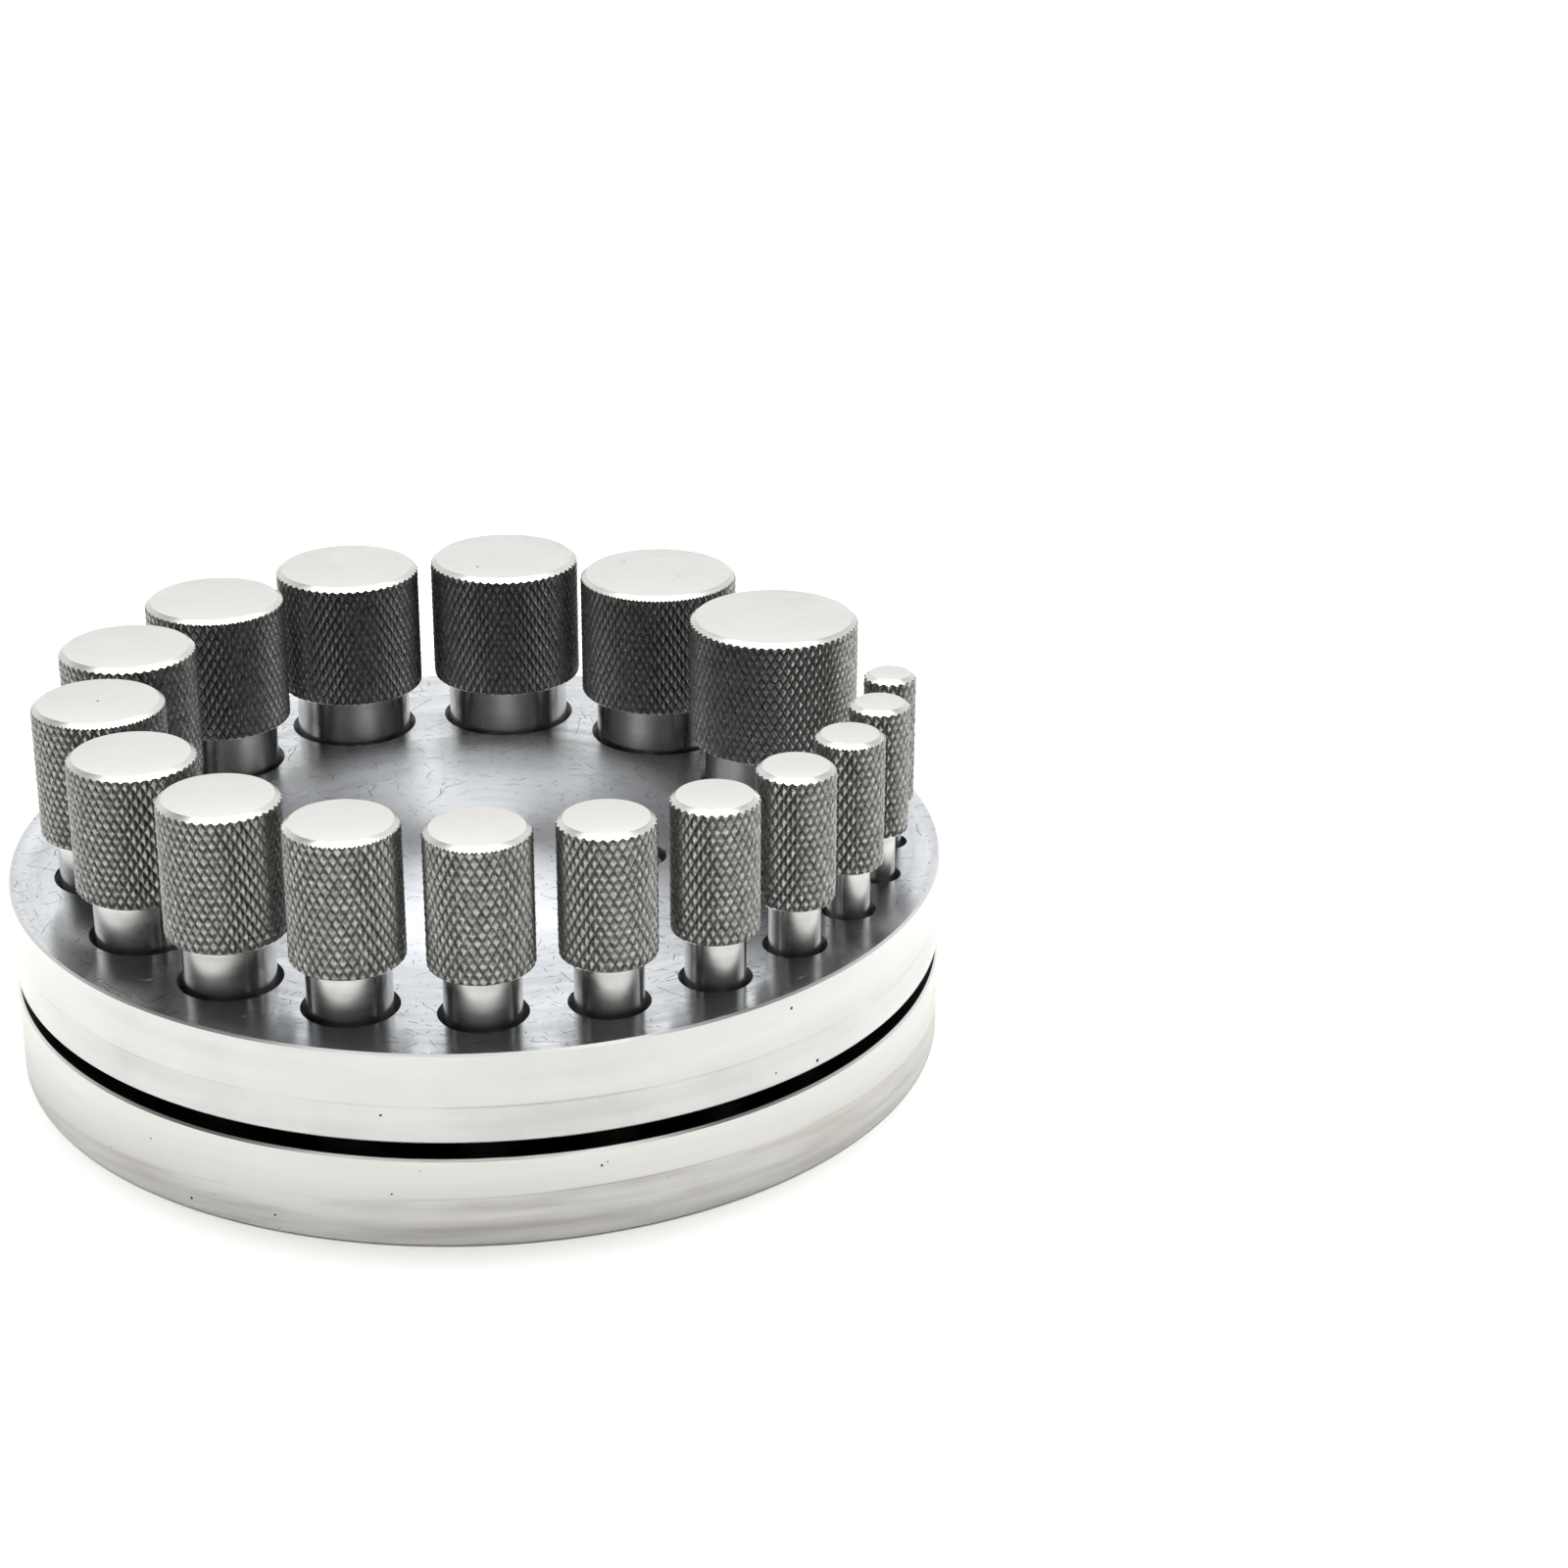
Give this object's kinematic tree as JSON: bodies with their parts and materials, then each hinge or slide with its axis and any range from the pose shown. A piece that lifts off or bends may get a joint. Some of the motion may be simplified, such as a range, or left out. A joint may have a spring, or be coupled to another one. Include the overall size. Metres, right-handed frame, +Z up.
{
  "type": "disc cutter",
  "caption": "Round disc cutter: loose knurled punches standing in a guide plate above a bored die plate, with a slot between for sheet metal.",
  "frame": {"origin": "centre of the die plate's lower face, where the tool stands on the bench", "axes": "+Z up, along every punch's travel; +X from the centre to the smallest punch"},
  "size_m": [0.13, 0.13, 0.0527],
  "materials": {
    "plate_steel": "turned and ground",
    "punch_steel": "turned, head knurled",
    "screw_steel": "black oxide",
    "dowel_steel": "ground"
  },
  "bodies": {
    "stack": {"die_plate": "plate_steel", "guide_plate": "plate_steel", "spacer": "plate_steel", "centre_screw": "screw_steel", "dowel_pin_right": "dowel_steel", "dowel_pin_left": "dowel_steel"},
    "punch_04mm": {"punch_04mm": "punch_steel"},
    "punch_05mm": {"punch_05mm": "punch_steel"},
    "punch_06mm": {"punch_06mm": "punch_steel"},
    "punch_07mm": {"punch_07mm": "punch_steel"},
    "punch_08mm": {"punch_08mm": "punch_steel"},
    "punch_09mm": {"punch_09mm": "punch_steel"},
    "punch_10mm": {"punch_10mm": "punch_steel"},
    "punch_11mm": {"punch_11mm": "punch_steel"},
    "punch_12mm": {"punch_12mm": "punch_steel"},
    "punch_13mm": {"punch_13mm": "punch_steel"},
    "punch_14mm": {"punch_14mm": "punch_steel"},
    "punch_15mm": {"punch_15mm": "punch_steel"},
    "punch_16mm": {"punch_16mm": "punch_steel"},
    "punch_17mm": {"punch_17mm": "punch_steel"},
    "punch_18mm": {"punch_18mm": "punch_steel"},
    "punch_19mm": {"punch_19mm": "punch_steel"},
    "punch_20mm": {"punch_20mm": "punch_steel"}
  },
  "joints": [
    {"name": "punch_04mm_slide", "type": "slide", "parent": "stack", "child": "punch_04mm", "axis": [0, 0, 1], "range_m": [0, 0.024]},
    {"name": "punch_05mm_slide", "type": "slide", "parent": "stack", "child": "punch_05mm", "axis": [0, 0, 1], "range_m": [0, 0.024]},
    {"name": "punch_06mm_slide", "type": "slide", "parent": "stack", "child": "punch_06mm", "axis": [0, 0, 1], "range_m": [0, 0.024]},
    {"name": "punch_07mm_slide", "type": "slide", "parent": "stack", "child": "punch_07mm", "axis": [0, 0, 1], "range_m": [0, 0.024]},
    {"name": "punch_08mm_slide", "type": "slide", "parent": "stack", "child": "punch_08mm", "axis": [0, 0, 1], "range_m": [0, 0.024]},
    {"name": "punch_09mm_slide", "type": "slide", "parent": "stack", "child": "punch_09mm", "axis": [0, 0, 1], "range_m": [0, 0.024]},
    {"name": "punch_10mm_slide", "type": "slide", "parent": "stack", "child": "punch_10mm", "axis": [0, 0, 1], "range_m": [0, 0.024]},
    {"name": "punch_11mm_slide", "type": "slide", "parent": "stack", "child": "punch_11mm", "axis": [0, 0, 1], "range_m": [0, 0.024]},
    {"name": "punch_12mm_slide", "type": "slide", "parent": "stack", "child": "punch_12mm", "axis": [0, 0, 1], "range_m": [0, 0.024]},
    {"name": "punch_13mm_slide", "type": "slide", "parent": "stack", "child": "punch_13mm", "axis": [0, 0, 1], "range_m": [0, 0.024]},
    {"name": "punch_14mm_slide", "type": "slide", "parent": "stack", "child": "punch_14mm", "axis": [0, 0, 1], "range_m": [0, 0.024]},
    {"name": "punch_15mm_slide", "type": "slide", "parent": "stack", "child": "punch_15mm", "axis": [0, 0, 1], "range_m": [0, 0.024]},
    {"name": "punch_16mm_slide", "type": "slide", "parent": "stack", "child": "punch_16mm", "axis": [0, 0, 1], "range_m": [0, 0.024]},
    {"name": "punch_17mm_slide", "type": "slide", "parent": "stack", "child": "punch_17mm", "axis": [0, 0, 1], "range_m": [0, 0.024]},
    {"name": "punch_18mm_slide", "type": "slide", "parent": "stack", "child": "punch_18mm", "axis": [0, 0, 1], "range_m": [0, 0.024]},
    {"name": "punch_19mm_slide", "type": "slide", "parent": "stack", "child": "punch_19mm", "axis": [0, 0, 1], "range_m": [0, 0.024]},
    {"name": "punch_20mm_slide", "type": "slide", "parent": "stack", "child": "punch_20mm", "axis": [0, 0, 1], "range_m": [0, 0.024]}
  ]
}
